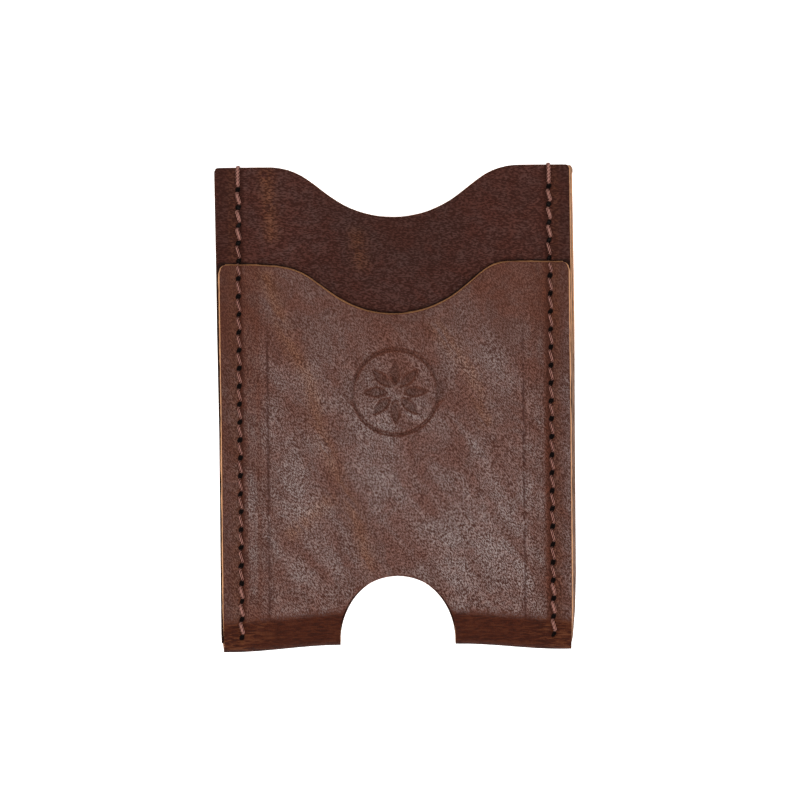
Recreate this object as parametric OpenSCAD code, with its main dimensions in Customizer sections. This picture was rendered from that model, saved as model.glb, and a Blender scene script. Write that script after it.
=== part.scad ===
// Slim leather card sleeve with two pockets.
// One strip, folded at the bottom, is both the front and the back panel. A divider sewn
// between them makes two pockets, and a lockstitch seam closes each side.
// The sleeve lies on its back: X runs across it, Y runs up to its open end and Z points
// out of its front. The origin is under its middle, on the surface that it lies on.

/* [Sleeve] */
// Width across the panels
wallet_w = 76; // [64:1:96]
// Height from the fold to the top edge
wallet_h = 103; // [88:1:126]
// Thickness of the leather
leather_t = 1.6; // [1.2:0.1:2]
// Room that each pocket has at its middle
pocket_gap = 1; // [0.4:0.1:1.6]
// Length over which the fold rounds off
fold_l = 6.5; // [5.5:0.5:9]
// Radius of the corners at the top edge
top_corner_r = 0.8; // [0.4:0.1:3]

/* [Lip and scoops] */
// Stitches below the front panel's lip
lip_stitches = 21; // [14:1:22]
// How far the lip stays below the next stitch hole
lip_gap = 1; // [0.9:0.1:1.2]
// Radius of the lip's two corners
lip_corner_r = 1.5; // [0.5:0.1:3]
// Width of each finger scoop
scoop_w = 53; // [44:1:58]
// Depth of the scoop in the top edge
top_scoop_d = 10.8; // [7:0.2:14]
// Depth of the scoop in the lip
lip_scoop_d = 10.8; // [7:0.2:14]
// Radius of the shoulders on both sides of a scoop
shoulder_r = 14; // [8:0.5:16]
// Length of the straight flank between a shoulder and the scoop
flank_l = 5.5; // [1:0.5:7]

/* [Thumb slot] */
// Width of the slot through the fold
slot_w = 25; // [18:1:32]
// Height of the slot's arch above the fold
slot_h = 16.1; // [13:0.1:22]

/* [Seams] */
// Distance of each seam from the side edge
seam_inset = 5; // [3.5:0.1:6]
// Distance between stitch holes
stitch_pitch = 3.8; // [3:0.1:4.6]
// Height of the lowest hole above the fold
seam_foot = 3.4; // [3.2:0.1:6]
// Least distance from the highest hole to the top edge
seam_head = 4.6; // [3.5:0.1:8]
// Diameter of the thread
thread_d = 0.55; // [0.4:0.05:0.6]
// Length of the thread's end on the back
thread_tail = 3; // [1.5:0.5:3.5]

/* [Rosette] */
// Diameter of the ring pressed into the front panel
ring_d = 18; // [12:0.5:24]
// Width of the pressed ring
ring_w = 0.6; // [0.4:0.1:1.2]
// Petals inside the ring
petals = 8; // [5:1:10]
// Length of a petal
petal_l = 5; // [3:0.2:6]
// Width of a petal at its middle
petal_w = 2; // [1:0.1:2.6]
// Distance from the ring's centre to the petals
petal_hub = 1.8; // [1.2:0.1:3]
// Depth of the pressing
press_d = 0.25; // [0.1:0.05:0.4]
// Height of the ring's centre above the middle of the sleeve
ring_y = 3.5; // [-10:0.5:12]

/* [Hidden] */
$fn = 64;

leather = "#6b4238";
divider_leather = "#44291f";
thread_colour = "#7d5a50";

// Half thicknesses, measured from the middle plane of the sleeve
layers = 3;
seam_half = layers * leather_t / 2;
pocket_half = seam_half + pocket_gap;
mid_z = pocket_half;
divider_front = mid_z + leather_t / 2;
front_face = mid_z + seam_half;
back_face = mid_z - seam_half;

// The flat land beside a seam, and the slope from there up to the full pocket
seam_land = 2;
slope_w = 3.5;
slope_steps = 6;
fold_steps = 10;
corner_steps = 4;
shoulder_steps = 6;
scoop_steps = 16;
fit_gap = 0.1;
beyond = 1;

top_y = wallet_h / 2;
bottom_y = -wallet_h / 2;
seam_x = wallet_w / 2 - seam_inset;
seam_length = wallet_h - seam_foot - seam_head;
// The small amount keeps an exact fit from being rounded down
rounding = 0.01;
last_hole = floor(seam_length / stitch_pitch + rounding);
lip_y = bottom_y + seam_foot + lip_stitches * stitch_pitch - lip_gap;

// In a hole the two threads loop through each other, a hair apart
thread_gap = 0.02;
thread_r = thread_d / 2;
leg_r = thread_d + thread_gap;
lock_rise = (thread_d + thread_gap) / 2;
hole_room = 0.03;
hole_d = 2 * (leg_r + thread_r + hole_room);
rest_off = thread_r + thread_gap;
bend_r = 1.25 * thread_r;
thread_sides = 6;
NEEDLE = 1;
BOBBIN = -1;

function hole_y(k) = bottom_y + seam_foot + k * stitch_pitch;
function unit(v) = v / norm(v);
function arc(centre, r, from, to, steps) =
  [for (i = [0:steps]) let (a = from + (to - from) * i / steps) centre + r * [cos(a), sin(a)]];

// ---- outlines ----

// Half thickness of the sleeve at x, less the inset: thin at a seam and full at the pocket
function half_at(x, inset) =
  let (
    s = (seam_x - seam_land - abs(x)) / slope_w,
    t = min(max(s, 0), 1)
  )
  seam_half + pocket_gap * (1 - cos(180 * t)) / 2 - inset;

// Where the thickness is worked out, from the left side to the right
function stations(half_w) =
  let (
    start = seam_x - seam_land,
    slope = [for (i = [0:slope_steps]) start - slope_w * i / slope_steps]
  )
  concat([-half_w], [for (x = slope) -x], [for (i = [slope_steps:-1:0]) slope[i]], [half_w]);

module across_section(inset, half_w) {
  xs = stations(half_w);
  n = len(xs);
  front = [for (x = xs) [x, mid_z + half_at(x, inset)]];
  back = [for (i = [n - 1:-1:0]) [xs[i], mid_z - half_at(xs[i], inset)]];
  polygon(concat(front, back));
}

// Side view of the fold: half an ellipse at the bottom, then straight up to the top
module fold_section(inset, end_y) {
  rise = fold_l - inset;
  half = pocket_half - inset;
  steps = 2 * fold_steps;
  bend = [
    for (i = [0:steps])
      let (a = 90 + 180 * i / steps)
      [bottom_y + fold_l + rise * cos(a), mid_z + half * sin(a)]
  ];
  polygon(concat([[end_y, mid_z + half]], bend, [[end_y, mid_z - half]]));
}

module fold_along(inset, half_w, end_y) {
  translate([-half_w, 0, 0])
    rotate([90, 0, 90])
      linear_extrude(2 * half_w)
        fold_section(inset, end_y);
}

// The folded sleeve as one solid, shrunk by the inset all round
module sleeve_form(inset, half_w, end_y) {
  intersection() {
    translate([0, end_y, 0])
      rotate([90, 0, 0])
        linear_extrude(end_y - bottom_y + beyond)
          across_section(inset, half_w);
    fold_along(inset, half_w + beyond, end_y + beyond);
  }
}

// One finger scoop from its left shoulder to its right one, with the edge at y = 0
function scoop_points(depth) =
  let (
    half = scoop_w / 2,
    both_r = (half ^ 2 + depth ^ 2 - flank_l ^ 2) / (2 * depth),
    r = both_r - shoulder_r,
    turn = atan2(half, both_r - depth) - atan2(flank_l, both_r)
  )
  concat(
    arc([-half, -shoulder_r], shoulder_r, 90, 90 - turn, shoulder_steps),
    arc([0, r - depth], r, 270 - turn, 270 + turn, scoop_steps),
    arc([half, -shoulder_r], shoulder_r, 90 + turn, 90, shoulder_steps)
  );

// Everything above an edge that has a scoop and two rounded corners
module above_edge(edge_y, scoop_d, corner_r) {
  half = wallet_w / 2;
  side = half + beyond;
  scoop = [for (p = scoop_points(scoop_d)) [p.x, edge_y + p.y]];
  polygon(
    concat(
      [[-side, wallet_h], [-side, edge_y - corner_r]],
      arc([corner_r - half, edge_y - corner_r], corner_r, 180, 90, corner_steps),
      scoop,
      arc([half - corner_r, edge_y - corner_r], corner_r, 90, 0, corner_steps),
      [[side, edge_y - corner_r], [side, wallet_h]]
    )
  );
}

// ---- cuts ----

module slot_cut() {
  r = slot_w / 2;
  arch_y = bottom_y + slot_h - r;
  translate([0, 0, -beyond])
    linear_extrude(2 * (mid_z + beyond)) {
      translate([0, arch_y])
        circle(r);
      translate([-r, bottom_y - beyond])
        square([slot_w, arch_y - bottom_y + beyond]);
    }
}

module stitch_holes() {
  for (side = [-1, 1], k = [0:last_hole])
    translate([side * seam_x, hole_y(k), -beyond])
      cylinder(d = hole_d, h = 2 * (mid_z + beyond), $fn = 24);
}

module top_edge_cut() {
  translate([0, 0, -beyond])
    linear_extrude(2 * (mid_z + beyond))
      above_edge(top_y, top_scoop_d, top_corner_r);
}

module lip_cut() {
  translate([0, 0, mid_z])
    linear_extrude(pocket_half + beyond)
      above_edge(lip_y, lip_scoop_d, lip_corner_r);
}

// A leaf shape, where two circles overlap
module petal() {
  r = (petal_l ^ 2 + petal_w ^ 2) / (4 * petal_w);
  off = r - petal_w / 2;
  intersection() {
    translate([0, off])
      circle(r);
    translate([0, -off])
      circle(r);
  }
}

module rosette_cut() {
  translate([0, ring_y, mid_z + pocket_half - press_d])
    linear_extrude(press_d + beyond) {
      difference() {
        circle(ring_d / 2);
        circle(ring_d / 2 - ring_w);
      }
      for (i = [0:petals - 1])
        rotate(360 * i / petals)
          translate([petal_hub + petal_l / 2, 0])
            petal();
    }
}

// ---- thread ----

// The loop in a hole: the needle thread turns under the bobbin thread, which turns over it
function lock_loop(centre, toward, kind) =
  [
    for (a = [0:45:180])
      let (
        p = -leg_r * cos(a) * toward,
        rise = kind * (leg_r * (1 - sin(a)) - lock_rise)
      )
      centre + [p.x, p.y, rise]
  ];

// A bend between a leg in a hole and the run on the face, with the run at height z
function bend_up(p, along, z, face) =
  [for (a = [0:45:90]) concat(p + along * bend_r * (1 - cos(a)), z - face * bend_r * (1 - sin(a)))];
function reversed(list) = [for (i = [len(list) - 1:-1:0]) list[i]];

function on_side(side, k) = [side * seam_x, hole_y(k)];
function leg_way(kind) = unit([kind, 1]);
function run_z(k, kind) =
  kind == BOBBIN ? back_face - rest_off : (hole_y(k) < lip_y ? front_face : divider_front) + rest_off;
function lock_z(k) = (back_face + (hole_y(k) < lip_y ? front_face : divider_front)) / 2;

// One hole and the stitch up to the next hole
function one_stitch(side, k, kind) =
  let (
    way = leg_way(kind),
    here = on_side(side, k),
    from = here + leg_r * way,
    to = on_side(side, k + 1) - leg_r * way,
    along = unit(to - from),
    z = run_z(k, kind),
    loop = lock_loop(concat(here, lock_z(k)), way, kind)
  )
  k == last_hole
  ? loop
  : concat(loop, bend_up(from, along, z, kind), reversed(bend_up(to, -along, z, kind)));

function stitches(side, kind) =
  [for (k = [0:last_hole]) each one_stitch(side, k, kind)];

// Before the first hole the thread starts flush with the face
function start_of(side, kind) =
  let (p = on_side(side, 0) - leg_r * leg_way(kind))
  [concat(p, run_z(0, kind) - kind * rest_off)];

// The bobbin thread ends flush with the back
function bobbin_end(side) =
  let (p = on_side(side, last_hole) + leg_r * leg_way(BOBBIN))
  [concat(p, back_face)];

// Past the lip, if the lip is above the highest hole, the thread steps down to the divider
function lip_step(x) =
  let (y = lip_y + rest_off)
  hole_y(last_hole) > lip_y
  ? []
  : [
      [x, y - bend_r, front_face + rest_off],
      [x, y, front_face + rest_off - bend_r],
      [x, y, divider_front + rest_off + bend_r],
      [x, y + bend_r, divider_front + rest_off]
    ];

// The needle thread ends over the top edge, with its tail down the back
function needle_end(side) =
  let (
    from = on_side(side, last_hole) + leg_r * leg_way(NEEDLE),
    x = from.x,
    y = top_y + rest_off,
    front_z = divider_front + rest_off,
    back_z = back_face - rest_off
  )
  concat(
    bend_up(from, [0, 1], run_z(last_hole, NEEDLE), NEEDLE),
    lip_step(x),
    [for (a = [0:45:90]) [x, y - bend_r * (1 - sin(a)), front_z - bend_r * (1 - cos(a))]],
    [for (a = [90:-45:0]) [x, y - bend_r * (1 - sin(a)), back_z + bend_r * (1 - cos(a))]],
    [[x, top_y - thread_tail, back_z]]
  );

function heading(route, i) =
  let (
    last = len(route) - 1,
    before = i == 0 ? route[0] : route[i - 1],
    after = i == last ? route[last] : route[i + 1],
    back_way = i == 0 ? [0, 0, 0] : unit(route[i] - before),
    front_way = i == last ? [0, 0, 0] : unit(after - route[i])
  )
  unit(back_way + front_way);

module swept_thread(route) {
  n = thread_sides;
  rings = len(route);
  points = [
    for (i = [0:rings - 1])
      let (
        t = heading(route, i),
        u = unit(cross(t, [1, 0, 0])),
        v = cross(t, u)
      )
      for (s = [0:n - 1])
        let (a = 360 * s / n)
        route[i] + thread_r * (cos(a) * u + sin(a) * v)
  ];
  walls = [
    for (i = [0:rings - 2], s = [0:n - 1])
      let (
        a = i * n + s,
        b = i * n + (s + 1) % n
      )
      each [[a, a + n, b + n], [a, b + n, b]]
  ];
  start_cap = [for (s = [0:n - 1]) s];
  end_cap = [for (s = [n - 1:-1:0]) (rings - 1) * n + s];
  polyhedron(points, concat([start_cap], walls, [end_cap]));
}

// ---- sub-parts ----

module outer_shell() {
  color(leather)
    difference() {
      sleeve_form(0, wallet_w / 2, top_y);
      sleeve_form(leather_t, wallet_w / 2 + beyond, top_y + beyond);
      top_edge_cut();
      lip_cut();
      slot_cut();
      stitch_holes();
      rosette_cut();
    }
}

module card_divider() {
  color(divider_leather)
    difference() {
      intersection() {
        translate([-wallet_w / 2, bottom_y, mid_z - leather_t / 2])
          cube([wallet_w, wallet_h, leather_t]);
        fold_along(leather_t + fit_gap, wallet_w / 2 + beyond, top_y + beyond);
      }
      top_edge_cut();
      slot_cut();
      stitch_holes();
    }
}

module needle_thread(side) {
  color(thread_colour)
    swept_thread(concat(start_of(side, NEEDLE), stitches(side, NEEDLE), needle_end(side)));
}

module bobbin_thread(side) {
  color(thread_colour)
    swept_thread(concat(start_of(side, BOBBIN), stitches(side, BOBBIN), bobbin_end(side)));
}

module left_needle_thread() {
  needle_thread(-1);
}

module left_bobbin_thread() {
  bobbin_thread(-1);
}

module right_needle_thread() {
  needle_thread(1);
}

module right_bobbin_thread() {
  bobbin_thread(1);
}

outer_shell();
card_divider();
left_needle_thread();
left_bobbin_thread();
right_needle_thread();
right_bobbin_thread();
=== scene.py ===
# %% [markdown]
# # A slim leather card sleeve
#
# The real object is three layers of oiled leather, sewn down both sides. One strip is folded
# at the bottom and is both the front and the back panel. A divider is sewn in between, so
# there are two pockets. This lesson makes each piece in the order of the work at the bench:
# the panels are cut to shape, the strip is folded, the edges are trimmed, the seams are
# pricked and sewn, and the finish comes last.

# %% Load the fixed frame
import math

import bpy
import numpy as np
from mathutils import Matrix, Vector, noise


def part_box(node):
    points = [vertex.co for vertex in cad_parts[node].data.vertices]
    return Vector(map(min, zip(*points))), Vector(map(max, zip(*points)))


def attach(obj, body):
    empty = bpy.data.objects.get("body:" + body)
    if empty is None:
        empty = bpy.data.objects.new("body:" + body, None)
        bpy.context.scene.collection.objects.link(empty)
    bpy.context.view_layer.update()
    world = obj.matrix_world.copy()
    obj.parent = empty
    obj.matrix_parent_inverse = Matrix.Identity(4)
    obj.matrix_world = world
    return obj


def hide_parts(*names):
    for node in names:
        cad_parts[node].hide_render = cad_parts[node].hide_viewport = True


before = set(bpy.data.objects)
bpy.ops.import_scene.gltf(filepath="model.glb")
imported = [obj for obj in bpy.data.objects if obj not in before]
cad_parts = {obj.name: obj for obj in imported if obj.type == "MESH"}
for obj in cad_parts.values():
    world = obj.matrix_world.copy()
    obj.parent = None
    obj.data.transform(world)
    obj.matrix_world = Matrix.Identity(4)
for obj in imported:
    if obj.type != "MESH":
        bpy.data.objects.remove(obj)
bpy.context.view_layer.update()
print("frame nodes:", sorted(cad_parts))

# %% [markdown]
# ## Sizes
#
# The frame gives the outline, the thickness of the leather and the places of the seams. What
# only shows up close, such as the slant of a cut edge, is set here in millimetres. Working
# from the frame keeps each new piece exactly where the fixed model has it.

# %% Take the sizes from the frame
MM = 0.001
shell_low, shell_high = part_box("outer_shell")
divider_low, divider_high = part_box("card_divider")
thread_low, thread_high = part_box("right_needle_thread")

half_w = shell_high.x
bottom_y = shell_low.y
top_y = shell_high.y
mid_z = (shell_low.z + shell_high.z) / 2
leather = divider_high.z - divider_low.z
seam_half = 1.5 * leather
pocket_gap = (shell_high.z - shell_low.z) / 2 - seam_half
seam_x = (thread_low.x + thread_high.x) / 2

pitch = 3.8 * MM
seam_foot = 3.4 * MM
hole_count = 26
lip_hole = 21
lip_below_hole = 1 * MM
first_hole_y = bottom_y + seam_foot
lip_y = first_hole_y + lip_hole * pitch - lip_below_hole
hole_ys = [first_hole_y + k * pitch for k in range(hole_count)]

scoop_half = 26.5 * MM
shoulder_r = 14 * MM
flank_l = 5.5 * MM
scoop_deep = 10.8 * MM
slot_half = 12.2 * MM
slot_high = 16.1 * MM
slot_top_y = bottom_y + slot_high
lip_corner_r = 1.7 * MM
top_corner_r = 0.8 * MM
print(f"sleeve {2 * half_w / MM:.1f} x {(top_y - bottom_y) / MM:.1f} mm, leather {leather / MM:.2f} mm")


# %% Small helpers for shapes
def ease(start, end, value):
    """0 before start, 1 after end and smooth between them."""
    t = np.clip((value - start) / (end - start), 0, 1)
    return t * t * (3 - 2 * t)


def bump_at(value, centre, width):
    """1 at the centre, falling off smoothly over the width."""
    return np.exp(-(((value - centre) / width) ** 2))


def start_clean():
    """Nothing selected, so that an operator acts on the new piece only."""
    if bpy.context.object and bpy.context.object.mode != "OBJECT":
        bpy.ops.object.mode_set(mode="OBJECT")
    bpy.ops.object.select_all(action="DESELECT")


def pick(piece):
    start_clean()
    piece.select_set(True)
    bpy.context.view_layer.objects.active = piece


def apply_modifier(piece, kind, **settings):
    """Adds one modifier, sets it up and applies it."""
    pick(piece)
    bpy.ops.object.modifier_add(type=kind)
    modifier = piece.modifiers[-1]
    for key, value in settings.items():
        setattr(modifier, key, value)
    bpy.ops.object.modifier_apply(modifier=modifier.name)


def points_of(piece):
    flat = np.empty(len(piece.data.vertices) * 3)
    piece.data.vertices.foreach_get("co", flat)
    return flat.reshape(-1, 3)


def put_points(piece, points):
    piece.data.vertices.foreach_set("co", np.ascontiguousarray(points, float).ravel())
    piece.data.update()


print("helpers ready")

# %% [markdown]
# ## Cutting the panels
#
# A leather panel is a flat sheet with a curved outline. It could be cut out of a plain grid
# with a boolean, but that leaves slivers along every curve, and they spoil the cut edges.
# Here a grid is laid out like the threads of a cloth instead: its last row follows the
# scooped edge, and its first column runs round the thumb slot and then up the middle. Only
# the right half is laid out, and a mirror makes the left one. The columns are close together
# where the seam needs detail and far apart elsewhere.

# %% The outline of a scooped edge
def scoop_drop(x):
    """How far the edge dips at x: round in the middle, straight flanks, round shoulders."""
    depth = scoop_deep
    both_r = (scoop_half ** 2 + depth ** 2 - flank_l ** 2) / (2 * depth)
    r = both_r - shoulder_r
    turn = math.atan2(scoop_half, both_r - depth) - math.atan2(flank_l, both_r)
    x = abs(x)
    bowl_end = r * math.sin(turn)
    shoulder_start = scoop_half - shoulder_r * math.sin(turn)
    if x < bowl_end:
        return depth - r + math.sqrt(r * r - x * x)
    if x < shoulder_start:
        return depth - r + r * math.cos(turn) - (x - bowl_end) * math.tan(turn)
    if x < scoop_half:
        return shoulder_r - math.sqrt(shoulder_r ** 2 - (scoop_half - x) ** 2)
    return 0.0


def corner_drop(x, radius):
    """How far a rounded corner falls below the edge at x."""
    past = min(max(abs(x) - (half_w - radius), 0.0), radius)
    return radius - math.sqrt(radius ** 2 - past ** 2)


def lip_edge(x):
    return lip_y - scoop_drop(x) - corner_drop(x, lip_corner_r)


def top_edge(x):
    return top_y - scoop_drop(x) - corner_drop(x, top_corner_r)


print(f"lip dips to y = {lip_edge(0) / MM:.1f} mm, top edge to {top_edge(0) / MM:.1f} mm")

# %% Columns and rows of the half panel
INNER_COLUMNS = 16
inner_w = 24 * MM
# Where each band of outer columns ends, in millimetres, and how many columns it has.
outer_stops = [(31, 10), (35, 16), (38, 8)]


def outer_columns():
    """Where the columns stand from the inner part to the side edge."""
    places = []
    start = inner_w
    for stop, count in outer_stops:
        end = half_w * stop / outer_stops[-1][0]
        places += [start + (end - start) * (n + 1) / count for n in range(count)]
        start = end
    return places


OUTER = outer_columns()
COLUMNS = INNER_COLUMNS + len(OUTER)
straight_from = 0.62
lead_away = 25 * MM
slot_arc_share = 1.55


def inner_edge(t, start_y, end_y):
    """A point on the first column, and the angle at which its row leaves."""
    arc_l = slot_arc_share * slot_half
    run = t * (arc_l + end_y - slot_top_y)
    if run < arc_l:
        turn = math.pi / 2 * run / arc_l
        y = start_y + (slot_top_y - start_y) * math.sin(turn)
        return slot_half * math.cos(turn), y, turn / 2
    past = run - arc_l
    return 0.0, slot_top_y + past, math.pi / 4 * max(0.0, 1 - past / lead_away) ** 2


def panel_point(column, t, start, end):
    """Where a column and the fraction t of its height lie, between the curves start and end."""
    if column > INNER_COLUMNS:
        x = OUTER[column - INNER_COLUMNS - 1]
        return x, start(x) + t * (end(x) - start(x))
    u = column / INNER_COLUMNS
    low_t = min(t, straight_from)
    x0, y0, leave = inner_edge(low_t, start(slot_half), end(0))
    y1 = start(inner_w) + low_t * (end(inner_w) - start(inner_w))
    reach = inner_w - x0
    h10 = u * (1 - u) ** 2
    h01 = u * u * (3 - 2 * u)
    h11 = u * u * (u - 1)
    x = (1 - h01) * x0 + h01 * inner_w + (h10 * math.cos(leave) + h11) * reach
    y = (1 - h01) * y0 + h01 * y1 + h10 * math.sin(leave) * reach
    if t > straight_from:
        y += (end(x) - y) * (t - straight_from) / (1 - straight_from)
    return x, y


def lay_grid(name, rows, place):
    """Adds a grid and moves the vertex in each column and row to its place."""
    start_clean()
    bpy.ops.mesh.primitive_grid_add(x_subdivisions=COLUMNS, y_subdivisions=rows, size=1)
    piece = bpy.context.object
    piece.name = piece.data.name = name
    for vertex in piece.data.vertices:
        column = round((vertex.co.x + 0.5) * COLUMNS)
        row = round((vertex.co.y + 0.5) * rows)
        vertex.co = place(column, row)
    apply_modifier(piece, "MIRROR", use_mirror_merge=True, merge_threshold=0.01 * MM)
    print(name, "laid out with", len(piece.data.vertices), "vertices")
    return piece


# %% [markdown]
# ## Folding the strip
#
# The front and the back are one strip, so the grid runs from the back's top edge, down and
# round the fold, and up to the front's lip. Round the fold the rows turn through half a
# circle. The pockets make the middle of each panel stand proud of the seams, and the extra
# leather that this takes lifts the fold a little beside the thumb slot.

# %% The form of the folded strip
FOLD_ROWS = 16
BACK_ROWS = 170
FRONT_ROWS = 180
fold_lift = 1.3 * MM
fold_swell = 0.15
front_trim = 1.05 * MM
back_trim = 0.25 * MM
trim_from = 34.5 * MM
pocket_half = 28.6 * MM
pocket_foot = 31.9 * MM
lift_half = 13 * MM
lift_foot = 35 * MM
filled_above_fold = 13 * MM


def pocket(x):
    """1 over the pocket and 0 at the seam."""
    return 1 - float(ease(pocket_half, pocket_foot, abs(x)))


def fold_r(x):
    return seam_half + pocket_gap * fold_swell * pocket(x)


def fold_y(x):
    return bottom_y + fold_lift * (1 - float(ease(lift_half, lift_foot, abs(x))))


def flat_start(x):
    return fold_y(x) + fold_r(x)


def swell(x, y):
    """How far a panel stands proud of the seam's level."""
    filled = fold_swell + (1 - fold_swell) * float(ease(0, filled_above_fold, y - flat_start(x)))
    return pocket_gap * filled * pocket(x)


def trimmed(x, amount):
    """Pulls the side edge in and leaves the seam where it is."""
    return x - amount * float(ease(trim_from, half_w, x))


def shell_place(column, row):
    if row < BACK_ROWS:
        x, y = panel_point(column, 1 - row / BACK_ROWS, flat_start, top_edge)
        return trimmed(x, back_trim), y, mid_z - seam_half - swell(x, y)
    if row <= BACK_ROWS + FOLD_ROWS:
        turn = math.pi * ((row - BACK_ROWS) / FOLD_ROWS - 0.5)
        u = column / INNER_COLUMNS
        x = slot_half + u * (inner_w - slot_half)
        if column > INNER_COLUMNS:
            x = OUTER[column - INNER_COLUMNS - 1]
        trim = back_trim + (front_trim - back_trim) * (row - BACK_ROWS) / FOLD_ROWS
        r = fold_r(x)
        return trimmed(x, trim), fold_y(x) + r - r * math.cos(turn), mid_z + r * math.sin(turn)
    t = (row - BACK_ROWS - FOLD_ROWS) / FRONT_ROWS
    x, y = panel_point(column, t, flat_start, lip_edge)
    return trimmed(x, front_trim), y, mid_z + seam_half + swell(x, y)


shell = lay_grid("leather_shell", BACK_ROWS + FOLD_ROWS + FRONT_ROWS, shell_place)

# %% The divider's sheet
DIVIDER_ROWS = 220
divider_foot = divider_low.y + 0.3 * MM
divider_trim = 0.35 * MM
divider_sink = 0.01 * MM


def divider_start(x):
    return divider_foot


def divider_place(column, row):
    x, y = panel_point(column, row / DIVIDER_ROWS, divider_start, top_edge)
    return trimmed(x, divider_trim), y, divider_high.z - divider_sink


divider = lay_grid("leather_divider", DIVIDER_ROWS, divider_place)

# %% [markdown]
# ## What the hand does
#
# A mirror makes both sides the same, and a hand-cut sleeve never is. The knife leaned a
# little on the right, so that the lower layers stand out there, the corners of the fold draw
# in, and the right shoulder of the lip is fuller than the left one. Both panels also have
# slow waves from the moulding of the damp leather.

# %% Let the edges wander
wander_ys = [y * MM for y in (-51.5, -50, -47, -43, -36, -5, 18, 30, 51)]
side_wander = {
    "front": ([-0.45, -0.3, -0.15, -0.05, 0, 0.05, 0, 0, 0],
              [-0.3, -0.2, -0.1, -0.05, -0.1, -0.1, 0, 0.05, 0]),
    "back": ([-0.8, -0.45, -0.15, 0.2, 0.45, 0.55, 0.7, 0.65, 0.5],
             [-0.3, -0.2, -0.1, -0.1, -0.1, -0.1, 0.2, 0.15, 0.35]),
    "divider": ([-1.0, -1.0, -0.85, -0.5, -0.25, -0.2, -0.2, -0.2, -0.25],
                [-0.2, -0.2, -0.1, -0.1, -0.1, -0.1, 0.15, 0.2, 0.4]),
}
wander_from = 34.8 * MM
wave_high = 0.07 * MM
waves_per_metre = (55, 40)
full_shoulder = 0.5 * MM
full_x, full_w = 20.5 * MM, 4.5 * MM
slack_shoulder = 0.45 * MM
slack_x, slack_w = -24.5 * MM, 5 * MM


def wandered(points, layer):
    """Moves the side edges out or in, by the right and left lists of this layer."""
    sides = [np.array(side) * MM for side in side_wander[layer]]
    right, left = (np.interp(points[:, 1], wander_ys, side) for side in sides)
    reach = ease(wander_from, half_w - 0.8 * MM, np.abs(points[:, 0]))
    return np.where(points[:, 0] > 0, right, -left) * reach


def slow_wave(points, seed):
    """A gentle unevenness that dies out at the seams."""
    dense_x, dense_y = waves_per_metre
    waves = np.array([noise.noise(Vector((x * dense_x, y * dense_y, seed))) for x, y, _ in points])
    return wave_high * waves * (1 - ease(24 * MM, 30 * MM, np.abs(points[:, 0])))


def lip_shift(x):
    """How much higher the hand-cut lip is at x than the drawn one."""
    full = full_shoulder * bump_at(x, full_x, full_w)
    return full - slack_shoulder * bump_at(x, slack_x, slack_w)


def settle_shell(piece):
    points = points_of(piece)
    front = points[:, 2] > mid_z
    shift = np.where(front, wandered(points, "front"), wandered(points, "back"))
    rise = ease(14 * MM, lip_y, points[:, 1]) * front
    points[:, 1] += lip_shift(points[:, 0]) * rise
    points[:, 2] += np.where(front, slow_wave(points, 2.0) - wave_high, 0)
    points[:, 0] += shift
    put_points(piece, points)


def settle_divider(piece):
    points = points_of(piece)
    points[:, 0] += wandered(points, "divider")
    points[:, 2] += slow_wave(points, 7.0) - wave_high
    put_points(piece, points)


settle_shell(shell)
settle_divider(divider)
widest = max(abs(amount) for sides in side_wander.values() for side in sides for amount in side)
print("edges wander by up to", widest, "mm")

# %% [markdown]
# ## Thickness and cut edges
#
# Solidify gives a sheet the thickness of the leather. It is told to grow inwards, so that
# the grain side stays where it was laid. A knife held at a slant leaves an edge that shows
# from the front as a tan band, so the flesh side's rim is pushed out past the grain side's.
# A narrow bevel then rounds the two arrises of the cut.

# %% Give a sheet its thickness and slanted edges
GRAIN, FLESH, CUT = 0, 1, 2
bevel_w = 0.16 * MM
side_zone = 2.2 * MM
side_slant = 0.4 * MM
right_under, left_under = -0.45 * MM, -0.1 * MM
slant_at_fold = 0.3
full_slant_y = bottom_y + 9 * MM
lip_slant = 0.34 * MM
divider_zone = 1.8 * MM
divider_slant = 0.35 * MM
top_slant = 0.15 * MM
no_push = np.zeros(3)


def rim_of(piece):
    """The numbers of the vertices on the sheet's open edges."""
    pick(piece)
    bpy.ops.object.mode_set(mode="EDIT")
    bpy.ops.mesh.select_mode(type="EDGE")
    bpy.ops.mesh.select_all(action="DESELECT")
    bpy.ops.mesh.select_non_manifold(extend=False, use_boundary=True, use_wire=False)
    bpy.ops.mesh.select_mode(type="VERT")
    bpy.ops.object.mode_set(mode="OBJECT")
    return [v.index for v in piece.data.vertices if v.select]


def thicken(piece, thickness, push):
    """Solidifies the sheet and moves the flesh side's rim by what push gives for each point."""
    rim = rim_of(piece)
    count = len(piece.data.vertices)
    for _ in range(3):
        piece.data.materials.append(None)
    apply_modifier(
        piece, "SOLIDIFY", thickness=thickness, offset=-1, use_even_offset=True,
        use_rim=True, material_offset=FLESH, material_offset_rim=CUT,
    )
    points = points_of(piece)
    for index in rim:
        points[count + index] += push(points[index])
    put_points(piece, points)
    apply_modifier(
        piece, "BEVEL", width=bevel_w, segments=2, limit_method="ANGLE",
        angle_limit=math.radians(48), loop_slide=False,
    )
    print(piece.name, "is now", len(piece.data.polygons), "faces")


def frayed(point, amount):
    """A knife's waver: a little more or less of the edge shows from place to place."""
    return amount * (1 + 0.35 * noise.noise(Vector(point) * 260) + 0.2 * noise.noise(Vector(point) * 900))


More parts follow.
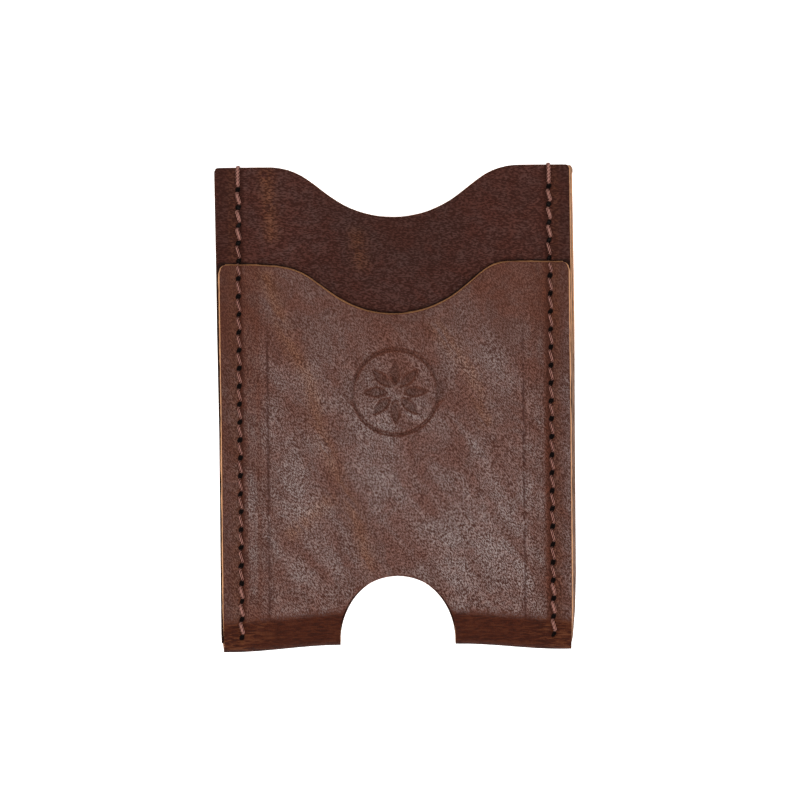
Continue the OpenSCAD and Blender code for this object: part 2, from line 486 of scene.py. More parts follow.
def shell_push(point):
    x, y, z = point
    side = math.copysign(1, x)
    if abs(x) > half_w - side_zone and y < top_y - 1.5 * MM:
        under = right_under if x > 0 else left_under
        showing = under + (side_slant - under) * float(ease(-leather / 2, leather / 2, z - mid_z))
        above_fold = float(ease(bottom_y + leather, full_slant_y, y))
        at_fold = slant_at_fold + (1 - slant_at_fold) * above_fold
        return np.array([side * frayed(point, showing * at_fold), 0, 0])
    if z > mid_z and y > 0:
        return np.array([0, frayed(point, lip_slant), 0])
    return no_push


def divider_push(point):
    x, y, _ = point
    if x > half_w - divider_zone:
        return np.array([frayed(point, divider_slant), 0, 0])
    if x < -half_w + divider_zone:
        return no_push
    if y > 0:
        return np.array([0, frayed(point, top_slant), 0])
    return no_push


shell_shave = 0.02 * MM
divider_shave = 0.04 * MM
thicken(shell, leather - shell_shave, shell_push)
thicken(divider, leather - divider_shave, divider_push)

# %% [markdown]
# ## Pricking the seams
#
# A stitching chisel leaves a row of small slanted holes, and the thread pulls the leather
# down into a shallow groove between them. Both are pressed into the grain side only, by
# moving the vertices that are already there: the columns were laid closer together along the
# seam for this. A card that has lived in the pocket also leaves its outline in the leather,
# as two faint upright ridges.

# %% Press the grain side
hole_half_w = 0.42 * MM
hole_half_h = 0.8 * MM
hole_lean = 0.22
hole_depth = 0.75 * MM
groove_depth = 0.13 * MM
groove_w = 1.2 * MM
card_half = 27 * MM
ridge_high = 0.1 * MM
ridge_w = 0.8 * MM
ridge_foot, ridge_top = -40 * MM, 12 * MM


def grain_points(piece):
    """True for each vertex of a face on the grain side."""
    found = np.zeros(len(piece.data.vertices), bool)
    for face in piece.data.polygons:
        if face.material_index == GRAIN:
            found[list(face.vertices)] = True
    return found


def seam_depth(x, y, first, last):
    """How deep the seam from the first hole to the last is pressed at each point."""
    across = x - np.copysign(seam_x, x)
    start, end = hole_ys[first], hole_ys[last]
    along = y - (hole_ys[0] + pitch * np.clip(np.round((y - hole_ys[0]) / pitch), first, last))
    hole = ((across - hole_lean * along) / hole_half_w) ** 2 + (along / hole_half_h) ** 2
    sewn = ease(start - 2 * MM, start, y) * (1 - ease(end, end + 2 * MM, y))
    return hole_depth * np.exp(-hole ** 2) + groove_depth * sewn * bump_at(across, 0, groove_w)


def card_ridge(x, y, low_y, high_y):
    """How high the card's outline stands, from low_y to high_y."""
    reach = ease(low_y - 4 * MM, low_y + 4 * MM, y) * (1 - ease(high_y - 4 * MM, high_y + 4 * MM, y))
    return ridge_high * reach * bump_at(np.abs(x), card_half, ridge_w)


def press_grain(piece, first, last, facing):
    """Presses the seams into one face of a piece: facing is 1 for the front, -1 for the back."""
    points = points_of(piece)
    side = grain_points(piece) & ((points[:, 2] - mid_z) * facing > 0)
    x, y = points[side, 0], points[side, 1]
    lift = -seam_depth(x, y, first, last)
    if facing > 0:
        lift += card_ridge(x, y, ridge_foot, ridge_top)
    points[side, 2] += facing * lift
    put_points(piece, points)
    print(piece.name, "pressed at", int(side.sum()), "points")


press_grain(shell, 0, lip_hole - 1, 1)
press_grain(shell, 0, hole_count - 1, -1)
press_grain(divider, lip_hole, hole_count - 1, 1)

# %% [markdown]
# ## The pressed rosette
#
# The front carries a small blind stamp: a rosette of eight petals in a ring, pressed into
# the damp leather without colour. The grid is too coarse there for its thin ring, so the
# faces in a square round it are subdivided first, more across than along, because the
# columns stand further apart than the rows.

# %% Refine the square for the stamp and press it
stamp_x = 0.0
stamp_y = 3.5 * MM
ring_r = 9 * MM
ring_half_w = 0.3 * MM
petals = 8
petal_from = 1.8 * MM
petal_l = 5 * MM
petal_half_w = 1 * MM
stamp_depth = 0.25 * MM
stamp_slope = 0.22 * MM
stamp_square = ring_r + 0.8 * MM


def select_stamp_edges(piece, along_x):
    """Selects the front's edges in the stamp's square that run along x, or those along y."""
    pick(piece)
    mesh = piece.data
    points = points_of(piece)
    inside = (np.abs(points[:, 0] - stamp_x) < stamp_square) & grain_points(piece)
    inside &= (np.abs(points[:, 1] - stamp_y) < stamp_square) & (points[:, 2] > mid_z)
    bpy.ops.object.mode_set(mode="EDIT")
    bpy.ops.mesh.select_mode(type="EDGE")
    bpy.ops.mesh.select_all(action="DESELECT")
    bpy.ops.object.mode_set(mode="OBJECT")
    for edge in mesh.edges:
        a, b = edge.vertices
        if inside[a] and inside[b]:
            step = np.abs(points[a] - points[b])
            edge.select = bool(step[0] > step[1]) == along_x
    bpy.ops.object.mode_set(mode="EDIT")


def refine_stamp(piece, along_x, cuts):
    select_stamp_edges(piece, along_x)
    bpy.ops.mesh.subdivide(number_cuts=cuts, ngon=True)
    bpy.ops.object.mode_set(mode="OBJECT")


def stamp_press(x, y):
    """1 inside the ring and the petals, 0 outside, with a steep slope between."""
    r = np.hypot(x - stamp_x, y - stamp_y)
    ring = np.abs(r - ring_r) - ring_half_w
    sector = 2 * math.pi / petals
    turn = np.arctan2(y - stamp_y, x - stamp_x)
    turn = turn - sector * np.round(turn / sector)
    along = (r * np.cos(turn) - petal_from) / petal_l
    width = petal_half_w * np.sin(math.pi * np.clip(along, 0, 1) ** 0.8)
    past_tip = (np.abs(along - 0.5) - 0.5) * petal_l
    petal = np.maximum(np.abs(r * np.sin(turn)) - width, past_tip)
    return 1 - ease(-stamp_slope / 2, stamp_slope / 2, np.minimum(ring, petal))


def press_stamp(piece):
    points = points_of(piece)
    side = grain_points(piece) & (points[:, 2] > mid_z)
    points[side, 2] -= stamp_depth * stamp_press(points[side, 0], points[side, 1])
    put_points(piece, points)


refine_stamp(shell, True, 6)
refine_stamp(shell, False, 1)
press_stamp(shell)
print("stamp pressed;", shell.name, "has", len(shell.data.polygons), "faces")

# %% [markdown]
# ## Marks of use
#
# Oiled leather is dark where it is full of oil, and it goes paler and redder where it has
# been bent. The marks are long soft curves that no tiling pattern gives, so each one is a
# short line of points, in millimetres, and its strength at each vertex is stored in an
# attribute that the material reads. Two more attributes say where the stamp is pressed in
# and how far the divider lies above the lip; the second drives a painted shade that stands
# for the lip's shadow on the divider.

# %% Store the marks of use
front_creases = [
    [(-27, 28), (-23, 15), (-18, 6), (-16, -5), (-12, -15), (-9, -22), (-6, -33)],
    [(-14, -19), (-22, -26)],
    [(9, 17), (16, 8), (19, -3)],
]
back_creases = [
    [(20, 32), (12, 18), (9, 2), (14, -16), (12, -30)],
    [(-24, 6), (-15, -8), (-17, -24)],
]
divider_creases = [[(-8, 37), (-7, 31)], [(-27, 50), (-26, 37)]]
crease_w = 1.5 * MM
far_above = 9.0


def crease_strength(points, creases, width):
    """1 on a crease, falling to 0 beside it and towards its ends."""
    strength = np.zeros(len(points))
    for crease in creases:
        line = np.array(crease) * MM
        for start, end in zip(line, line[1:]):
            run = end - start
            t = np.clip((points - start) @ run / (run @ run), 0, 1)
            gap = np.linalg.norm(points - start - t[:, None] * run, axis=1)
            strength = np.maximum(strength, bump_at(gap, 0, width))
    return strength


def store_values(piece, name, values):
    marks = piece.data.attributes.new(name, "FLOAT", "POINT")
    marks.data.foreach_set("value", values)


def store_marks(piece, front, back):
    points = points_of(piece)
    facing_front = points[:, 2] > mid_z
    values = np.where(
        facing_front,
        crease_strength(points[:, :2], front, crease_w),
        crease_strength(points[:, :2], back, crease_w),
    )
    store_values(piece, "pulled", values)
    print(piece.name, "marks stored, strongest", round(float(values.max()), 2))


def above_lip(points):
    """How far the points lie above the lip of the front panel, in millimetres."""
    lip = np.array([lip_edge(x) for x in points[:, 0]]) + lip_shift(points[:, 0])
    return (points[:, 1] - lip) / MM


store_marks(shell, front_creases, back_creases)
store_marks(divider, divider_creases, back_creases)
shell_points = points_of(shell)
facing_front = shell_points[:, 2] > mid_z
store_values(shell, "pressed", stamp_press(shell_points[:, 0], shell_points[:, 1]) * facing_front)
store_values(shell, "above_lip", np.full(len(shell_points), far_above))
# This distance drives a painted shade on the divider just above the lip.
store_values(divider, "above_lip", above_lip(points_of(divider)))

for sheet in (shell, divider):
    pick(sheet)
    bpy.ops.object.shade_smooth_by_angle(angle=math.radians(62))

# %% [markdown]
# ## Sewing the sides
#
# A lockstitch has two threads. The needle thread shows on the front and the bobbin thread on
# the back, and they hook round each other half way down each hole. Each thread here is three
# plies twisted together: three small circles are swept into a straight rope by a Screw
# modifier, and a Curve modifier then lays the rope along its route. The first and the last
# few stitches are sewn twice, and both threads cross the top edge before they end. The lock
# itself is hidden, so here each thread turns back a little before the middle of the leather.

# %% The thread's route
ply_r = 0.14 * MM
ply_out = 0.165 * MM
turn_l = 2.1 * MM
steps_per_turn = 12
ply_sides = 7
doubled = 3
strand_apart = 0.11 * MM
# How a stitch leaves its hole: along the seam, sideways and up, in millimetres.
dive = [(0.34, 0.12, -1.3), (0.66, 0.25, -0.75), (1.04, 0.24, 0.02), (1.4, 0.14, 0.2)]
lock_gap = 0.45 * MM
edge_inset = 0.7 * MM
edge_rise = 0.17 * MM
crest_rise = 0.24 * MM
crest_shoulder = 0.15 * MM


def face_level(hole, facing):
    """The height of the leather at a hole, on the front or on the back."""
    if facing < 0:
        return mid_z - seam_half
    if hole >= lip_hole:
        return divider_high.z
    return mid_z + seam_half


def hole_entry(x, hole, toward, facing):
    """Points that lead out of a hole, upwards (1) or downwards (-1) along the seam."""
    level = face_level(hole, facing)
    for along, lean, rise in np.array(dive) * MM:
        yield x + toward * lean, hole_ys[hole] + toward * along, level + facing * rise


def stitch_points(x, here, there, facing):
    """A stitch on the surface from one hole to the next."""
    step = there - here
    first = list(hole_entry(x, here, step, facing))
    last = list(hole_entry(x, there, -step, facing))[::-1]
    highest = max(first[-1][2], last[0][2]) if facing > 0 else first[-1][2]
    first[-1] = (*first[-1][:2], highest)
    last[0] = (*last[0][:2], highest)
    return first + last


def lock_point(x, hole, facing):
    return x, hole_ys[hole], mid_z + facing * lock_gap


def sewn(x, holes, facing):
    """The route through a row of holes on one face."""
    route = [lock_point(x, holes[0], facing)]
    for here, there in zip(holes, holes[1:]):
        route += stitch_points(x, here, there, facing)
        route.append(lock_point(x, there, facing))
    return route


def over_top(x, facing):
    """From the last hole on one face, over the top edge and into the same hole on the other."""
    last = hole_count - 1
    near = [(x, y, z) for _, y, z in hole_entry(x, last, 1, facing)]
    far = [(x, y, z) for _, y, z in hole_entry(x, last, 1, -facing)][::-1]
    crest = top_y + crest_rise
    near_z = face_level(last, facing)
    far_z = face_level(last, -facing)
    edge = [
        (x, top_y - edge_inset, near_z + facing * edge_rise),
        (x, crest, near_z - facing * crest_shoulder),
        (x, crest, far_z + facing * crest_shoulder),
        (x, top_y - edge_inset, far_z - facing * edge_rise),
    ]
    return near + edge + far


holes_up = list(range(hole_count))


def needle_route(x):
    """Back three stitches from the fourth hole, then up the whole seam and over the edge."""
    first = sewn(x - strand_apart, [doubled - n for n in range(doubled + 1)], 1)
    second = sewn(x + strand_apart, holes_up[:doubled + 1], 1)
    rest = sewn(x, holes_up[doubled:-doubled - 1], 1)
    ends = sewn(x - strand_apart, holes_up[-doubled - 2:], 1)
    return first[:-1] + second[1:-1] + rest[:-1] + ends[:-1] + over_top(x - strand_apart, 1)


def bobbin_route(x):
    """Up the back of the seam, over the edge and down three stitches on the front."""
    back = sewn(x, holes_up, -1)
    down = sewn(x + strand_apart, holes_up[:-doubled - 2:-1], 1)
    return back[:-1] + over_top(x + strand_apart, -1) + down[1:]


print("needle route has", len(needle_route(seam_x)), "points")

# %% Twist a thread and lay it along its route
def route_curve(name, route):
    """A smooth path through the route's points."""
    start_clean()
    bpy.ops.curve.primitive_nurbs_path_add()
    path = bpy.context.object
    path.name = name
    path.data.splines.clear()
    spline = path.data.splines.new("NURBS")
    spline.points.add(len(route) - 1)
    for point, place in zip(spline.points, route):
        point.co = (*place, 1)
    spline.order_u = 3
    spline.use_endpoint_u = True
    path.data.resolution_u = 5
    path.data.twist_mode = "MINIMUM"
    return path


def straight_rope(name, length):
    """Three plies twisted round the X axis."""
    plies = []
    for n in range(3):
        turn = 2 * math.pi * n / 3
        start_clean()
        bpy.ops.mesh.primitive_circle_add(
            vertices=ply_sides, radius=ply_r, rotation=(0, math.pi / 2, 0),
            location=(0, ply_out * math.cos(turn), ply_out * math.sin(turn)),
        )
        plies.append(bpy.context.object)
    for ply in plies:
        ply.select_set(True)
    bpy.ops.object.transform_apply(location=True, rotation=True, scale=True)
    bpy.ops.object.join()
    rope = bpy.context.object
    rope.name = rope.data.name = name
    turns = int(length / turn_l)
    apply_modifier(
        rope, "SCREW", axis="X", angle=2 * math.pi, screw_offset=length / turns,
        iterations=turns, steps=steps_per_turn, render_steps=steps_per_turn,
        use_merge_vertices=False, use_smooth_shade=True,
    )
    from_axis = np.hypot(*points_of(rope)[:, 1:].T)
    store_values(rope, "crest", ease(ply_out + 0.3 * ply_r, ply_out + ply_r, from_axis))
    bpy.ops.object.mode_set(mode="EDIT")
    bpy.ops.mesh.select_all(action="SELECT")
    bpy.ops.mesh.fill_holes(sides=ply_sides + 1)
    bpy.ops.mesh.normals_make_consistent(inside=False)
    bpy.ops.object.mode_set(mode="OBJECT")
    return rope


def lay_thread(name, route):
    path = route_curve(name + "_path", route)
    length = path.data.splines[0].calc_length()
    rope = straight_rope(name, length)
    apply_modifier(rope, "CURVE", object=path, deform_axis="POS_X")
    bpy.data.objects.remove(path)
    print(f"{name}: {length / MM:.0f} mm of thread, {len(rope.data.polygons)} faces")
    return rope


threads = {}
for side, x in (("left", -seam_x), ("right", seam_x)):
    threads[side + "_needle_thread"] = lay_thread(side + "_needle_twist", needle_route(x))
    threads[side + "_bobbin_thread"] = lay_thread(side + "_bobbin_twist", bobbin_route(x))

# %% [markdown]
# ## Writing a material as a formula
#
# A material is a graph of nodes, but most of it is arithmetic, and arithmetic is easier to
# read as a formula. The small class below wraps one socket. Adding or multiplying two of
# them adds a Math node behind the scenes. Every other node comes from its one method node.

# %% A socket that can be used in a formula
class Wire:
    """One socket of a material, with operators that add Math nodes."""

    def __init__(self, tree, socket=None):
        self.tree = tree
        self.socket = socket

    def node(self, kind, settings=None, inputs=None, out=0):
        """Adds a node: first its settings, then its sockets."""
        made = self.tree.nodes.new(kind)
        for key, value in (settings or {}).items():
            setattr(made, key, value)
        for key, value in (inputs or {}).items():
            if isinstance(value, Wire):
                self.tree.links.new(value.socket, made.inputs[key])
            else:
                made.inputs[key].default_value = value
        return Wire(self.tree, made.outputs[out])

    def math(self, operation, *values):
        return self.node("ShaderNodeMath", {"operation": operation}, dict(enumerate(values)))

    def __add__(self, other):
        return self.math("ADD", self, other)

    def __sub__(self, other):
        return self.math("SUBTRACT", self, other)

    def __rsub__(self, other):
        return self.math("SUBTRACT", other, self)

    def __mul__(self, other):
        return self.math("MULTIPLY", self, other)

    def __truediv__(self, other):
        return self.math("DIVIDE", self, other)

    def __pow__(self, other):
        return self.math("POWER", self, other)

    def __abs__(self):
        return self.math("ABSOLUTE", self)

    __radd__ = __add__
    __rmul__ = __mul__

    def rise(self, start, end):
        """0 before start, 1 after end and smooth between: start may be above end."""
        return self.node(
            "ShaderNodeMapRange", {"interpolation_type": "SMOOTHSTEP"},
            {0: self, 1: start, 2: end, 3: 0.0, 4: 1.0},
        )

    def band(self, centre, width):
        """1 at the centre, 0 at width away from it."""
        return abs(self - centre).rise(width, 0)

    def most(self, other):
        return self.math("MAXIMUM", self, other)

    def noise(self, scale, detail=2.0, rough=0.5, warp=0.0):
        """Noise at the place that this vector gives."""
        return self.node(
            "ShaderNodeTexNoise", {"noise_dimensions": "3D"},
            {"Vector": self, "Scale": scale, "Detail": detail, "Roughness": rough, "Distortion": warp},
        )

    def between(self, low, high):
        """A colour: low where this mask is 0 and high where it is 1."""
        low, high = (c if isinstance(c, Wire) else (*c, 1) for c in (low, high))
        return self.node("ShaderNodeMix", {"data_type": "RGBA"}, {0: self, 6: low, 7: high}, out=2)

    def tint(self, colour, mask):
        """This colour, turned into the other one where the mask is 1."""
        return mask.between(self, colour)

    def scaled(self, amounts):
        """This vector times the three amounts."""
        return self.node(
            "ShaderNodeVectorMath", {"operation": "MULTIPLY"}, {0: self, 1: amounts}
        )


def new_material(name):
    """An empty material, its shader and a wire that starts its formulas."""
    material = bpy.data.materials.new(name)
    material.use_nodes = True
    tree = material.node_tree
    return material, tree.nodes["Principled BSDF"], Wire(tree)


def set_shader(shader, values):
    """Sets the shader's sockets to constants or wires."""
    for key, value in values.items():
        if isinstance(value, Wire):
            value.tree.links.new(value.socket, shader.inputs[key])
        elif key == "Base Color":
            shader.inputs[key].default_value = (*value, 1)
        else:
            shader.inputs[key].default_value = value


def place_in_mm(wire):
    """The object's coordinates in millimetres."""
    return wire.node("ShaderNodeTexCoord", out=3).scaled((1000, 1000, 1000))


def split(vector):
    parts = vector.node("ShaderNodeSeparateXYZ", None, {0: vector})
    outputs = parts.socket.node.outputs
    return [Wire(vector.tree, socket) for socket in outputs]


print("formula wires ready")

# %% [markdown]
# ## Grain leather
#
# The grain side is a deep red brown under a waxy bloom. Its fine wrinkles lean one way,
# because the hide was stretched, and the bloom shines on their crests; their valleys are
# darker, partly in the hide's own tone and partly with painted shade. The oil has moved
# where the leather was worked: it is warm beside the stitches. The colour goes darker towards
# the fold. Painted shade fills the holes and darkens the stitch groove, part of the card's
# outline and the divider round the lip. All of this is read from the object's own
# coordinates, in millimetres, so that the pattern stays on the leather.

# %% The grain side
to_mm = 1 / MM
seam_mm = seam_x * to_mm
first_mm = first_hole_y * to_mm
pitch_mm = pitch * to_mm
last_mm = hole_ys[-1] * to_mm
bottom_mm = bottom_y * to_mm
lip_mm = lip_y * to_mm
leather_mm = leather * to_mm

black_brown = (0.014, 0.005, 0.003)
hole_shade_black = (0.004, 0.002, 0.0015)
# Size of the painted shade in each stitch hole, in millimetres.
dark_half_w = 0.54
dark_half_h = 0.72
seam_end_mm = last_mm + 1.5
fold_band = 9.9
fold_fade = 1.2


def along_pitch(y):
    """How far a point is above the nearest hole of the seam."""
    holes_up_to = ((y - first_mm) / pitch_mm).math("ROUND", (y - first_mm) / pitch_mm)
    return y - first_mm - holes_up_to * pitch_mm


def seam_masks(x, y, uneven):
    """How far a point is outside the seam, and 1 in the holes, whose edges are uneven."""
    outside = abs(x) - seam_mm
    along = along_pitch(y)
    across = outside * x.math("SIGN", x)
    hole = ((across - hole_lean * along) / dark_half_w) ** 2 + (along / dark_half_h) ** 2
    ragged = hole + 1.6 * (uneven - 0.5)
    return outside, ragged.rise(1.15, 0.7) * y.rise(seam_end_mm, last_mm + 1.4)


def seam_gloss(outside, right):
    """How much of the bloom is left beside the seam: least in the groove and on the margins."""
    inner = (outside * -1).rise(0.4, 1.7) * (1 - right) + (outside * -1).rise(1.0, 2.2) * right
    margin = 0.28 + right * (0.65 * outside.rise(0.8, 4.2) - 0.06)
    return inner + margin * outside.rise(-0.3, 0.4)


def leaning_grain(mm, scale, stretch, lean):
    """The grain of the hide: 1 on a wrinkle's crest, 0 between wrinkles, and the vector it follows."""
    leaning = mm.node(
        "ShaderNodeMapping", {"vector_type": "TEXTURE"},
        {"Vector": mm, "Rotation": (0, 0, math.radians(lean)), "Scale": (1, stretch, 1)},
    )
    wavy = leaning.node(
        "ShaderNodeVectorMath", {"operation": "MULTIPLY_ADD"},
        {0: leaning.node("ShaderNodeTexNoise", None, {"Vector": leaning, "Scale": 0.5}, out=1),
         1: (0.4, 0.4, 0.4), 2: leaning},
    )
    return wavy.noise(scale, 1.0, 0.5).rise(0.38, 0.62), wavy


def grain_leather(name, tones, sheen, grain_shape, relief):
    """Tones are the bloom, the warm brown, the pulled-up red, the deep brown and the wrinkles' valleys,
    which are partly their own tone and partly painted shade.
    """
    bloom, warm, pulled_tone, deep, wrinkle_tone_and_shade = tones
    material, shader, wire = new_material(name)
    mm = place_in_mm(wire)
    x, y, _ = split(mm)
    right = x.rise(-2, 2)
    outside, hole = seam_masks(x, y, mm.noise(0.8, 1.0))
    grain, wavy = leaning_grain(mm, *grain_shape)

    # Noises, from broad to fine, and the stored marks.
    patches = mm.noise(0.12, 3.0, 0.62, 0.8)
    soft_folds = wavy.scaled((1, 0.8, 1)).noise(0.2, 2.0, 0.5, 0.6)
    blotches = mm.noise(0.42, 3.0, 0.6)
    streaks = wavy.scaled((1, 0.3, 1)).noise(0.7, 3.0, 0.6)
    level_streaks = mm.scaled((0.42, 2.6, 1)).noise(1.0, 3.0, 0.6, 0.9)
    pulled = wire.node("ShaderNodeAttribute", {"attribute_name": "pulled"}, out=2)
    pressed = wire.node("ShaderNodeAttribute", {"attribute_name": "pressed"}, out=2)
    lip_gap = wire.node("ShaderNodeAttribute", {"attribute_name": "above_lip"}, out=2)
    worn = pulled * streaks.rise(0.28, 0.5)

    # Masks for the places where the leather was worked, and for the painted shade in the stitch groove
    # and along the card's outline.
    fold_edge = y + 0.09 * abs(x)
    fold = fold_edge.rise(bottom_mm + fold_band + fold_fade, bottom_mm + fold_band - fold_fade)
    corner = fold * abs(x).rise(24, 34)
    burnish = outside.band(1.2, 1.6) * level_streaks.rise(0.3, 0.55)
    groove = outside.band(-0.5, 1.0)
    outline = (abs(x) - card_half * to_mm).band(0, 0.5) * y.rise(20, 14) * blotches.rise(0.36, 0.5)
    oiled = (patches * 0.65 + blotches * 0.35).rise(0.4, 0.6)
    rough_grain = y.rise(-12, -38) * x.rise(-5, 22)
    crest = 0.5 + (grain - 0.5) * (0.85 + 0.15 * rough_grain - 0.2 * y.rise(5, 25))

    # Colour, from the whole hide to the smallest marks.
    colour = oiled.between(bloom, warm)
    colour = colour.tint(pulled_tone, worn * 0.75)
    colour = colour.tint(pulled_tone, burnish * 0.45)
    # Painted shade in the stitch groove; the card's outline is partly a darker crease and partly painted
    # shade; the margins outside the seam are a darker tone of their own.
    colour = colour.tint(deep, (groove * 0.6).most(outline * 0.9).most(outside.rise(0, 1) * 0.35))
    # Darker and deeper brown towards the fold.
    colour = colour.tint(deep, fold)
    colour = colour.tint(pulled_tone, (fold * 0.12 + corner * 0.25) * level_streaks.rise(0.55, 0.35))
    # Darker in the wrinkles' valleys: partly the hide's own tone, partly painted shade.
    colour = colour.tint(wrinkle_tone_and_shade, (1 - crest) * (1 - fold))
    colour = colour.tint(black_brown, fold * level_streaks.rise(0.45, 0.65) * 0.5)
    # Painted shade round the notch of the lip, on the divider in the notch; the same mask darkens the
    # front panel just below it.
    colour = colour.tint(black_brown, y.rise(lip_mm - 14, lip_mm + 4) * abs(x).rise(22, 8) * 0.25)
    # The pressed stamp is a little darker; the divider just above the lip gets a painted shade that
    # stands for the lip's shadow.
    colour = colour.tint(black_brown, (pressed * 0.3).most((lip_gap + blotches).rise(1.45, 0.95) * 0.9))
    # Painted shade: the stitch holes are filled with near black.
    colour = colour.tint(hole_shade_black, hole)

    # Bloom, which is what is left of the wax.
    upper = y.rise(2, 22) * (0.5 - 0.12 * x.rise(-5, -25) + 0.14 * x.rise(8, 25))
    gloss = sheen * (1 - 0.3 * oiled) * (1 - upper) * (1 - fold) * (1 - 0.15 * rough_grain)
    gloss = gloss * seam_gloss(outside, right) * (1 - 0.3 * worn) * (1 - hole)
    gloss = gloss * (1 - 0.6 * outline) * (1 - 0.5 * pressed) * lip_gap.rise(0.3, 1.2)
    gloss = gloss * (0.12 + (1.8 + 0.4 * rough_grain) * crest ** 2.4 + 0.5 * (blotches - 0.5))
    gloss = gloss * (0.55 + 0.9 * soft_folds.rise(0.32, 0.68))
    height = grain + 0.5 * streaks + 0.6 * blotches
    bump = wire.node(
        "ShaderNodeBump", None, {"Strength": 1.0, "Distance": relief, "Height": height * (1 - hole)}
    )
    set_shader(shader, {
        "Base Color": colour, "Roughness": 0.65 + 0.2 * (1 - grain), "Normal": bump,
        "Specular IOR Level": 0.07, "Coat Weight": gloss, "Coat Roughness": 0.34,
    })
    return material


shell_grain = grain_leather(
    "oiled_grain",
    [(0.104, 0.04, 0.027), (0.118, 0.037, 0.021), (0.17, 0.06, 0.024), (0.042, 0.0085, 0.0035),
     (0.037, 0.0115, 0.007)],
    0.55, (6.2, 3.0, 34), 0.045 * MM,
)
divider_grain = grain_leather(
    "dark_grain",
    [(0.068, 0.024, 0.018), (0.072, 0.02, 0.013), (0.15, 0.05, 0.022), (0.026, 0.007, 0.004),
     (0.02, 0.0055, 0.0035)],
    0.125, (1.7, 0.42, -6), 0.09 * MM,
)
print("grain leathers:", shell_grain.name, divider_grain.name)

# %% [markdown]
# ## Flesh side, cut edges and thread
#
# The flesh side is undyed suede with a short nap. A cut edge shows the tan core of the hide,
# and its fibres make it slightly rough; painted shade darkens it between the layers and on
# the lower layers' edges at the right. The thread is waxed, so its plies have a soft gloss;
# a painted highlight makes it palest on their crests, and painted shade darkens it in the holes.

# %% The other finishes
def suede(name):
    material, shader, wire = new_material(name)
    mm = place_in_mm(wire)
    nap = mm.noise(4.0, 3.0, 0.7)
    patch = mm.noise(0.3, 3.0)
    colour = (0.6 * nap + 0.4 * patch).rise(0.3, 0.7).between((0.2, 0.1, 0.055), (0.36, 0.2, 0.115))
    bump = wire.node("ShaderNodeBump", None, {"Strength": 1.0, "Distance": 0.1 * MM, "Height": nap})
    set_shader(shader, {
        "Base Color": colour, "Roughness": 0.92, "Normal": bump, "Sheen Weight": 0.3,
    })
    return material


def tan_edge(name):
    material, shader, wire = new_material(name)
    mm = place_in_mm(wire)
    x, y, z = split(mm)
    fibre = mm.scaled((3.0, 1.2, 5.0)).noise(1.0, 3.0, 0.65)
    stain = mm.noise(0.4, 2.0)
    # Painted shade where the cut edges of two layers meet.
    layer_gap_shade = abs(z - mid_z * to_mm).band(leather_mm / 2, 0.6)
    front_layer = z.rise((mid_z + leather / 2) * to_mm, (mid_z + leather / 2) * to_mm + 0.3)
    # Painted shade on the lower layers' cut edges at the right, under the front layer.
    lower_layers_shade = x.rise(36, 36.5) * (1 - front_layer) * y.rise(22, 5)
    colour = fibre.rise(0.3, 0.7).between((0.34, 0.14, 0.052), (0.56, 0.27, 0.115))
    colour = colour.tint((0.2, 0.07, 0.03), stain.rise(0.56, 0.75) * 0.6)
    colour = colour.tint((0.07, 0.024, 0.011), lower_layers_shade * 0.85)
    colour = colour.tint((0.05, 0.018, 0.009), layer_gap_shade * 0.8)
    bump = wire.node("ShaderNodeBump", None, {"Strength": 1.0, "Distance": 0.1 * MM, "Height": fibre})
    set_shader(shader, {
        "Base Color": colour, "Roughness": 0.75, "Normal": bump, "Specular IOR Level": 0.2,
    })
    return material


def waxed_thread(name):
    material, shader, wire = new_material(name)
    mm = place_in_mm(wire)
    _, y, _ = split(mm)
    fibre = mm.noise(6.0, 3.0, 0.7)
    wear = mm.noise(0.35, 2.0)
    crest = wire.node("ShaderNodeAttribute", {"attribute_name": "crest"}, out=2)
    # Paler with fibre and wear, with a painted highlight on the plies' crests and painted shade between
    # them.
    fibre_tone_and_crest_highlight = (0.25 * fibre + 0.2 * wear + 0.55 * crest).rise(0.35, 0.8)
    colour = fibre_tone_and_crest_highlight.between((0.05, 0.011, 0.008), (0.34, 0.16, 0.125))
    # Painted shade where the thread dives into a hole.
    hole_shade_on_thread = abs(along_pitch(y)).rise(0.8, 0.35) * y.rise(seam_end_mm, last_mm + 1.4)
    colour = colour.tint(hole_shade_black, hole_shade_on_thread)
    bump = wire.node("ShaderNodeBump", None, {"Strength": 1.0, "Distance": 0.04 * MM, "Height": fibre})
    set_shader(shader, {
        "Base Color": colour, "Roughness": 0.55, "Normal": bump, "Specular IOR Level": 0.15,
    })
    return material


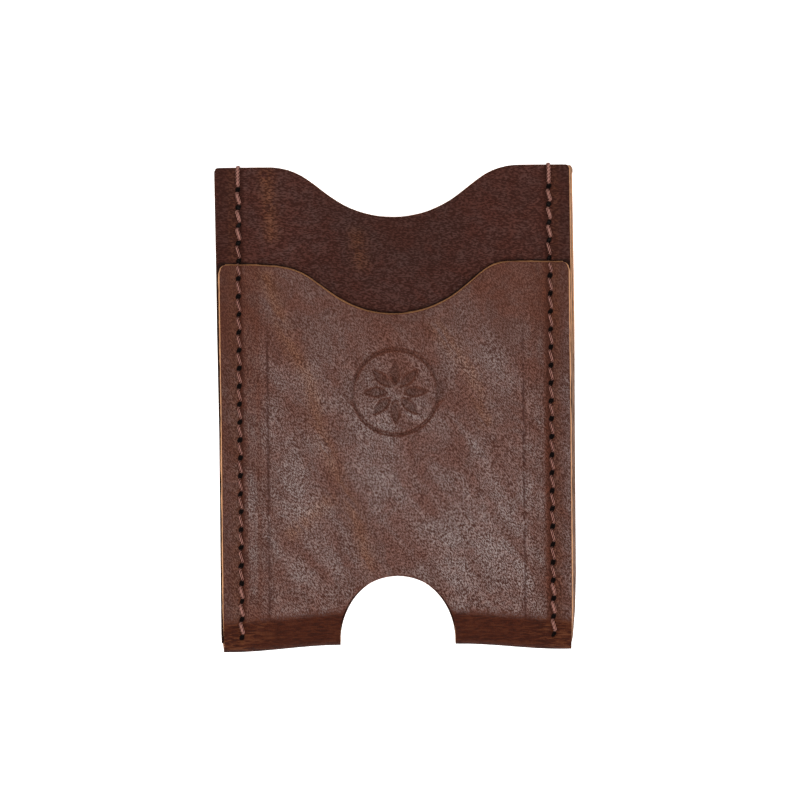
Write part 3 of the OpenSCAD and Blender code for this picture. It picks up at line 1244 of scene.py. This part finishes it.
flesh = suede("flesh_suede")
edge = tan_edge("tan_edge")
thread_wax = waxed_thread("waxed_thread")
for sheet, grain in ((shell, shell_grain), (divider, divider_grain)):
    for slot, finish in ((GRAIN, grain), (FLESH, flesh), (CUT, edge)):
        sheet.data.materials[slot] = finish
for rope in threads.values():
    rope.data.materials.append(thread_wax)
print("finishes:", flesh.name, edge.name, thread_wax.name)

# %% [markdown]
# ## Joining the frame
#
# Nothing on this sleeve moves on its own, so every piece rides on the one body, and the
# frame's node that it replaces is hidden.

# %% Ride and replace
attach(shell, "root")
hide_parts("outer_shell")
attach(divider, "root")
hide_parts("card_divider")
for node, rope in threads.items():
    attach(rope, "root")
    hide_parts(node)
print("pieces joined:", 2 + len(threads))

# %% [markdown]
# ## Light, floor and camera
#
# The sleeve lies on a white table under one large soft light. The light is overhead, so its
# reflection lies over the waxed leather as a grey bloom, and two smaller side lights rake
# across the grain. The camera looks straight down through a long lens.

# %% Light the table and place the camera
def soft_light(name, place, size, power, aim=(0, 0, 0)):
    start_clean()
    bpy.ops.object.light_add(type="AREA", location=place)
    lamp = bpy.context.object
    lamp.name = name
    lamp.data.shape = "RECTANGLE"
    lamp.data.size, lamp.data.size_y = size
    lamp.data.energy = power
    lamp.rotation_euler = (Vector(aim) - Vector(place)).to_track_quat("-Z", "Y").to_euler()
    return lamp


soft_light("overhead_softbox", (0.04, -0.08, 0.75), (0.5, 0.5), 4.2)
soft_light("raking_light", (-0.45, -0.1, 0.3), (0.12, 0.4), 1.3)
soft_light("fill_light", (0.5, -0.05, 0.42), (0.2, 0.5), 1.5)

start_clean()
bpy.ops.mesh.primitive_plane_add(size=3, location=(0, 0, -0.05 * MM))
table = bpy.context.object
table.name = "white_table"
table_paint, table_shader, _ = new_material("white_table_paint")
set_shader(table_shader, {
    "Base Color": (0.9, 0.9, 0.9), "Roughness": 0.9, "Specular IOR Level": 0.0,
    "Emission Color": (1, 1, 1, 1), "Emission Strength": 0.8,
})
table.data.materials.append(table_paint)

world = bpy.data.worlds.new("soft_room")
world.use_nodes = True
world.node_tree.nodes["Background"].inputs["Color"].default_value = (1, 1, 1, 1)
world.node_tree.nodes["Background"].inputs["Strength"].default_value = 0.35
bpy.context.scene.world = world

lens_mm = 100
camera_high = 476 * MM
camera_x = 0.95 * MM
camera_y = 1.8 * MM
camera_roll = math.radians(-0.6)
start_clean()
bpy.ops.object.camera_add(location=(camera_x, camera_y, camera_high), rotation=(0, 0, camera_roll))
camera = bpy.context.object
camera.data.lens = lens_mm
camera.data.clip_start = 0.01
bpy.context.scene.camera = camera
bpy.context.scene.view_settings.view_transform = "Standard"
print(f"camera {camera_high / MM:.0f} mm above the table")
